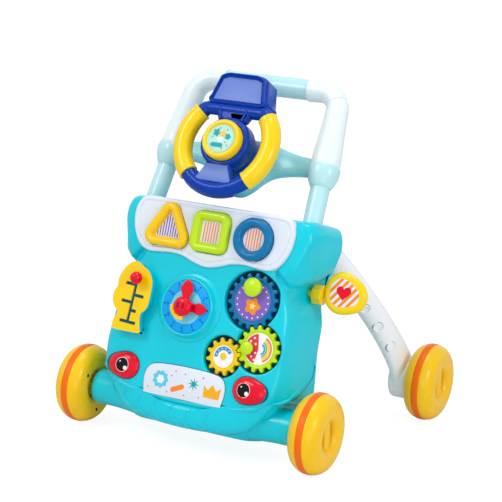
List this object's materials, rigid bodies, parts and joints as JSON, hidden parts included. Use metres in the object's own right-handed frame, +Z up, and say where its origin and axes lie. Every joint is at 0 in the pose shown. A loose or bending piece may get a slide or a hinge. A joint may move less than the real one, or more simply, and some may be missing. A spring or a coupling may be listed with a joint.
{
  "type": "baby walker",
  "caption": "Push-along baby walker with a steering wheel, shape buttons, meshing gears, toy clock, gear shifter, spinning side paddle and four rolling wheels.",
  "frame": {"origin": "on the floor, at the centre of the bounding box, midway between the front and the rear axle", "axes": "+X across the walker towards its paddle side, -Y forwards in the rolling direction, where the button face looks, +Z up"},
  "size_m": [0.472, 0.3474, 0.4654],
  "materials": {
    "teal_shell": "glossy",
    "deep_teal": "glossy",
    "white_panel": "glossy",
    "handle_mint": "glossy",
    "pearl_white": "glossy",
    "navy": "glossy",
    "lilac": "glossy",
    "yellow": "glossy",
    "wheel_yellow": "satin",
    "tread_orange": "satin",
    "amber": "glossy",
    "lime": "glossy",
    "blue": "glossy",
    "red": "glossy",
    "black": "glossy",
    "dial_blue": "glossy",
    "steel": "brushed"
  },
  "bodies": {
    "body": {"front_shell": "teal_shell", "rear_shell": "teal_shell", "battery_door": "teal_shell", "base_housing": "teal_shell", "button_panel": "white_panel", "shifter_boss": "teal_shell", "shifter_plate": "yellow", "clock_boss": "teal_shell", "clock_dial": "dial_blue", "gear_tray": "deep_teal", "label_plate": "white_panel", "left_eye": "red", "right_eye": "red", "left_pupil": "black", "right_pupil": "black", "left_tube": "handle_mint", "right_tube": "handle_mint", "handle_crossbar": "handle_mint", "left_arm": "pearl_white", "right_arm": "pearl_white", "left_elbow": "pearl_white", "right_elbow": "pearl_white", "grip_bar": "handle_mint", "steering_column": "navy", "left_leg": "pearl_white", "right_leg": "pearl_white", "front_axle": "steel", "left_rear_axle": "steel", "right_rear_axle": "steel"},
    "steering_wheel": {"steering_ring": "navy", "left_steering_grip": "yellow", "right_steering_grip": "yellow", "mirror_box": "navy", "mirror_panel": "lilac"},
    "horn": {"horn_button": "yellow"},
    "triangle_button": {"triangle_button": "amber"},
    "square_button": {"square_button": "lime"},
    "circle_button": {"circle_button": "blue"},
    "shift_knob": {"shift_knob": "red"},
    "hour_hand": {"hour_hand": "red"},
    "minute_hand": {"minute_hand": "red", "nose_cap": "red", "hand_tab": "yellow"},
    "blue_gear": {"blue_gear": "blue", "blue_gear_knob": "lime"},
    "lime_gear": {"lime_gear": "lime", "lime_gear_knob": "lime"},
    "orange_gear": {"orange_gear": "amber"},
    "paddle": {"paddle_hub": "yellow", "side_paddle": "yellow"},
    "front_left_wheel": {"front_left_wheel": "wheel_yellow", "front_left_tread": "tread_orange"},
    "front_right_wheel": {"front_right_wheel": "wheel_yellow", "front_right_tread": "tread_orange"},
    "rear_left_wheel": {"rear_left_wheel": "wheel_yellow", "rear_left_tread": "tread_orange"},
    "rear_right_wheel": {"rear_right_wheel": "wheel_yellow", "rear_right_tread": "tread_orange"}
  },
  "joints": [
    {"name": "steering_turn", "type": "hinge", "parent": "body", "child": "steering_wheel", "pos_m": [0, -0.05772, 0.38153], "axis": [0, -0.848, 0.5299], "range_deg": [-45, 45]},
    {"name": "horn_press", "type": "slide", "parent": "steering_wheel", "child": "horn", "axis": [0, 0.848, -0.5299], "range_m": [0, 0.0025], "stiffness_N_per_m": 500, "springref_m": -0.002},
    {"name": "triangle_press", "type": "slide", "parent": "body", "child": "triangle_button", "axis": [0, 0.9397, -0.342], "range_m": [0, 0.003], "stiffness_N_per_m": 500, "springref_m": -0.002},
    {"name": "square_press", "type": "slide", "parent": "body", "child": "square_button", "axis": [0, 0.9397, -0.342], "range_m": [0, 0.003], "stiffness_N_per_m": 500, "springref_m": -0.002},
    {"name": "circle_press", "type": "slide", "parent": "body", "child": "circle_button", "axis": [0, 0.9397, -0.342], "range_m": [0, 0.003], "stiffness_N_per_m": 500, "springref_m": -0.002},
    {"name": "shifter_slide", "type": "slide", "parent": "body", "child": "shift_knob", "axis": [-0.061, -0.3414, -0.9379], "range_m": [0, 0.056]},
    {"name": "hour_turn", "type": "hinge", "parent": "body", "child": "hour_hand", "pos_m": [-0.0125, -0.12174, 0.18165], "axis": [0, -0.9397, 0.342], "continuous": true},
    {"name": "minute_turn", "type": "hinge", "parent": "body", "child": "minute_hand", "pos_m": [-0.0125, -0.12174, 0.18165], "axis": [0, -0.9397, 0.342], "continuous": true},
    {"name": "blue_gear_spin", "type": "hinge", "parent": "body", "child": "blue_gear", "pos_m": [0.0705, -0.11405, 0.2028], "axis": [0, -0.9397, 0.342], "continuous": true},
    {"name": "lime_gear_spin", "type": "hinge", "parent": "body", "child": "lime_gear", "pos_m": [0.0906, -0.13347, 0.14945], "axis": [0, -0.9397, 0.342], "continuous": true},
    {"name": "orange_gear_spin", "type": "hinge", "parent": "body", "child": "orange_gear", "pos_m": [0.0446, -0.1395, 0.13286], "axis": [0, -0.9397, 0.342], "continuous": true},
    {"name": "paddle_spin", "type": "hinge", "parent": "body", "child": "paddle", "pos_m": [0.126, -0.05262, 0.20491], "axis": [1, 0, 0], "continuous": true},
    {"name": "front_left_roll", "type": "hinge", "parent": "body", "child": "front_left_wheel", "pos_m": [-0.17, -0.1225, 0.0512], "axis": [1, 0, 0], "continuous": true},
    {"name": "front_right_roll", "type": "hinge", "parent": "body", "child": "front_right_wheel", "pos_m": [0.17, -0.1225, 0.0512], "axis": [1, 0, 0], "continuous": true},
    {"name": "rear_left_roll", "type": "hinge", "parent": "body", "child": "rear_left_wheel", "pos_m": [-0.215, 0.1225, 0.0512], "axis": [1, 0, 0], "continuous": true},
    {"name": "rear_right_roll", "type": "hinge", "parent": "body", "child": "rear_right_wheel", "pos_m": [0.215, 0.1225, 0.0512], "axis": [1, 0, 0], "continuous": true}
  ],
  "couplings": [
    {"joint": "lime_gear_spin", "follows": "blue_gear_spin", "ratio": -1.2},
    {"joint": "orange_gear_spin", "follows": "blue_gear_spin", "ratio": 1.5}
  ]
}
